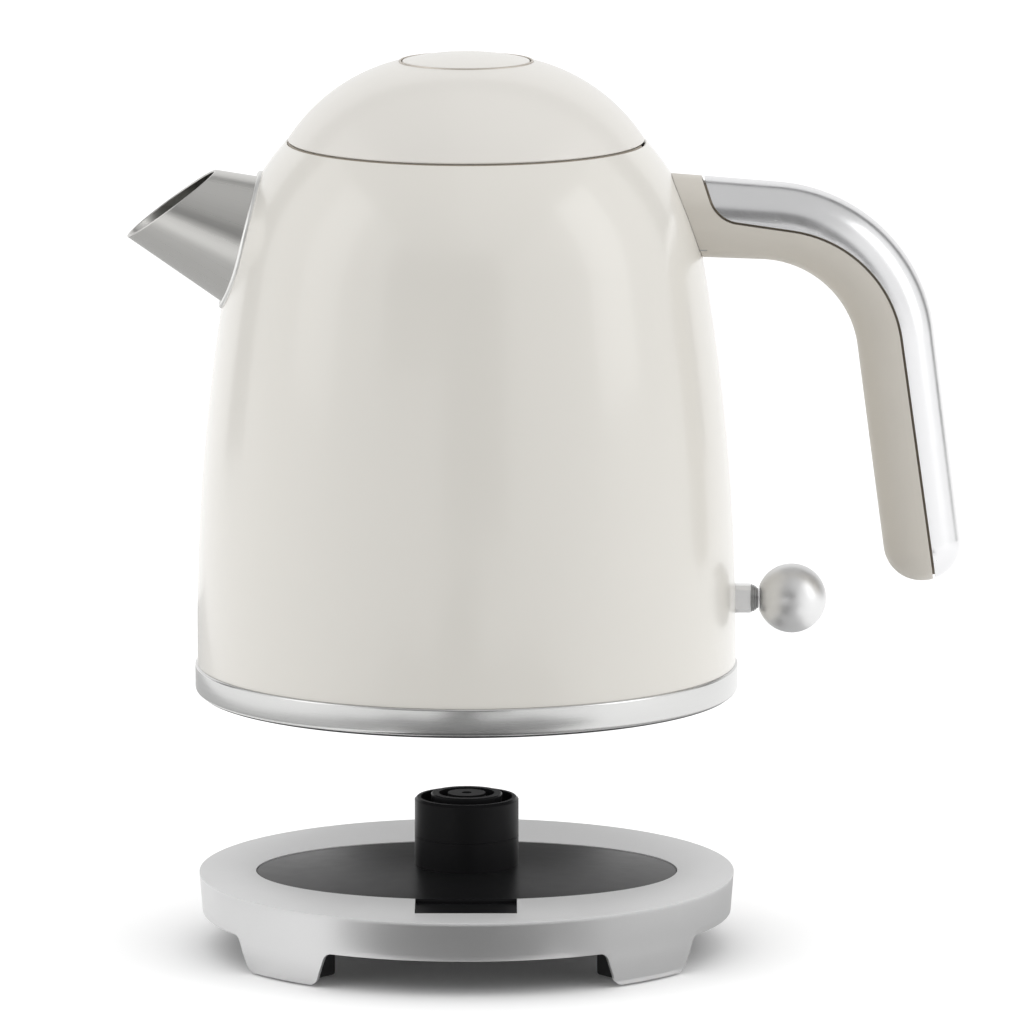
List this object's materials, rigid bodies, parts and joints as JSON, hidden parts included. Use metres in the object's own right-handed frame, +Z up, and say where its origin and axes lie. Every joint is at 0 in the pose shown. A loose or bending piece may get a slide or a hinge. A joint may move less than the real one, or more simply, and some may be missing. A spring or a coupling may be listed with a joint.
{
  "type": "electric kettle",
  "caption": "Round domed electric jug kettle with a conical spout, open hook handle, push-button lid and ball-ended switch lever, lifted above its round corded power base.",
  "frame": {"origin": "on the floor under the kettle's axis, midway between the base's feet", "axes": "+Z up along the kettle's axis, -X towards the spout, +X towards the handle, -Y towards the viewer"},
  "size_m": [0.2628, 0.1718, 0.2853],
  "materials": {
    "enamel": "gloss off-white enamel",
    "spout_steel": "brushed",
    "band_silver": "satin",
    "chrome": "satin chrome",
    "grip": "matte greige",
    "black_gloss": "satin black",
    "base_silver": "satin silver",
    "dark_plastic": "matte black",
    "lid_plastic": "matte grey",
    "silicone": "matte silicone",
    "foot_rubber": "matte rubber",
    "plain_steel": "plain",
    "heater_aluminium": "cast",
    "contact_brass": "plain"
  },
  "bodies": {
    "kettle": {"vessel_shell": "enamel", "neck_ring": "lid_plastic", "base_band": "band_silver", "bottom_cover": "dark_plastic", "cover_screws": "plain_steel", "cover_brackets": "plain_steel", "heating_plate": "plain_steel", "plate_seal": "silicone", "heat_spreader": "heater_aluminium", "heating_element": "plain_steel", "element_terminals": "contact_brass", "control_housing": "dark_plastic", "bimetal_discs": "plain_steel", "socket_cup": "dark_plastic", "socket_contacts": "contact_brass", "steam_tube": "plain_steel", "switch_housing": "dark_plastic", "lever_pin": "plain_steel", "spout": "spout_steel", "spout_bead": "chrome", "spout_strainer": "plain_steel", "handle_bracket": "plain_steel", "handle_grip": "grip", "handle_strap": "chrome", "handle_screws": "plain_steel", "hinge_bracket": "plain_steel", "hinge_pin": "plain_steel"},
    "power_base": {"base_ring": "base_silver", "base_legs": "base_silver", "base_dish": "black_gloss", "base_connector": "black_gloss", "connector_contacts": "contact_brass", "base_underplate": "dark_plastic", "base_screws": "plain_steel", "foot_pads": "foot_rubber", "cord_gland": "foot_rubber", "terminal_block": "dark_plastic"},
    "lid": {"lid_dome": "enamel", "lid_liner": "lid_plastic", "lid_seal": "silicone", "button_ring": "chrome", "lid_hinge_arm": "plain_steel", "lid_screws": "plain_steel", "button_spring": "plain_steel"},
    "lid_button": {"lid_button": "enamel"},
    "lid_latch": {"lid_latch": "dark_plastic"},
    "switch_lever": {"switch_lever": "chrome", "lever_collar": "chrome", "lever_ball": "chrome"},
    "switch_plunger": {"switch_plunger": "dark_plastic"}
  },
  "joints": [
    {"name": "base_dock", "type": "slide", "parent": "kettle", "child": "power_base", "axis": [0, 0, 1], "range_m": [0, 0.05805]},
    {"name": "lid_hinge", "type": "hinge", "parent": "kettle", "child": "lid", "pos_m": [0.05, 0, 0.25935], "axis": [0, 1, 0], "range_deg": [0, 75]},
    {"name": "lid_press", "type": "slide", "parent": "lid", "child": "lid_button", "axis": [0, 0, -1], "range_m": [0, 0.0025], "stiffness_N_per_m": 800, "deforming": ["button_spring"]},
    {"name": "latch_slide", "type": "slide", "parent": "lid", "child": "lid_latch", "axis": [1, 0, 0], "range_m": [0, 0.0025]},
    {"name": "switch_rock", "type": "hinge", "parent": "kettle", "child": "switch_lever", "pos_m": [0.068, 0, 0.11165], "axis": [0, 1, 0], "range_deg": [0, 12]},
    {"name": "plunger_lift", "type": "slide", "parent": "kettle", "child": "switch_plunger", "axis": [0, 0, 1], "range_m": [0, 0.000945]}
  ],
  "couplings": [
    {"joint": "latch_slide", "follows": "lid_press", "ratio": 1},
    {"joint": "plunger_lift", "follows": "switch_rock", "m_per_rad": 0.0045}
  ]
}
